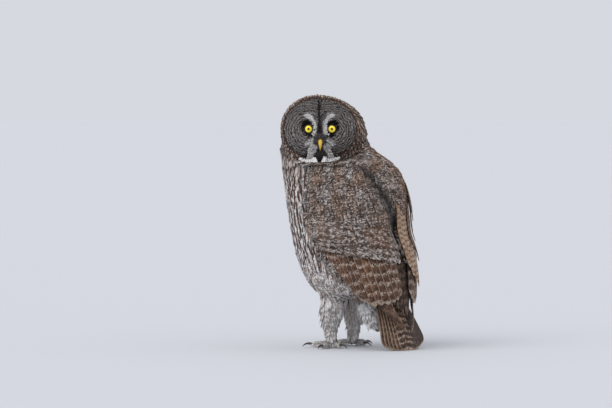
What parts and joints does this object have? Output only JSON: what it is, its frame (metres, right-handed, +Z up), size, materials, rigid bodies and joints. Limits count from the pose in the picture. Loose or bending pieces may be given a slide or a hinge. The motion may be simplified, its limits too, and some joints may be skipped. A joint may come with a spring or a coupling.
{
  "type": "great grey owl",
  "caption": "Life-size owl standing still with its head turned back over one shoulder, wings folded and tail tip resting on the floor.",
  "frame": {"origin": "middle of the bounding box at floor level", "axes": "+Z up, -Y the way the breast faces, +X the bird's left"},
  "size_m": [0.261, 0.3384, 0.5689],
  "materials": {
    "body_feathers": "soft feathers, grey-brown with dark streaks",
    "face_feathers": "fine grey feathers in dark and pale rings",
    "wing_feathers": "brown feathers with paler bars and flecks",
    "tail_feathers": "brown feathers with mottled pale bars",
    "leg_feathers": "short pale grey down, faintly barred",
    "eyes": "clear cornea over a yellow iris and a black pupil",
    "bill": "smooth yellow horn",
    "talons": "smooth black horn"
  },
  "bodies": {
    "root": {"torso": "body_feathers", "neck": "body_feathers", "head": "face_feathers", "eye_left": "eyes", "eye_right": "eyes", "bill_upper": "bill", "bill_lower": "bill", "wing_left": "wing_feathers", "wing_right": "wing_feathers", "tail": "tail_feathers", "vent": "leg_feathers", "leg_left": "leg_feathers", "leg_right": "leg_feathers", "foot_left": "leg_feathers", "foot_right": "leg_feathers", "talon_left_1": "talons", "talon_left_2": "talons", "talon_left_3": "talons", "talon_left_4": "talons", "talon_right_1": "talons", "talon_right_2": "talons", "talon_right_3": "talons", "talon_right_4": "talons"}
  },
  "joints": []
}
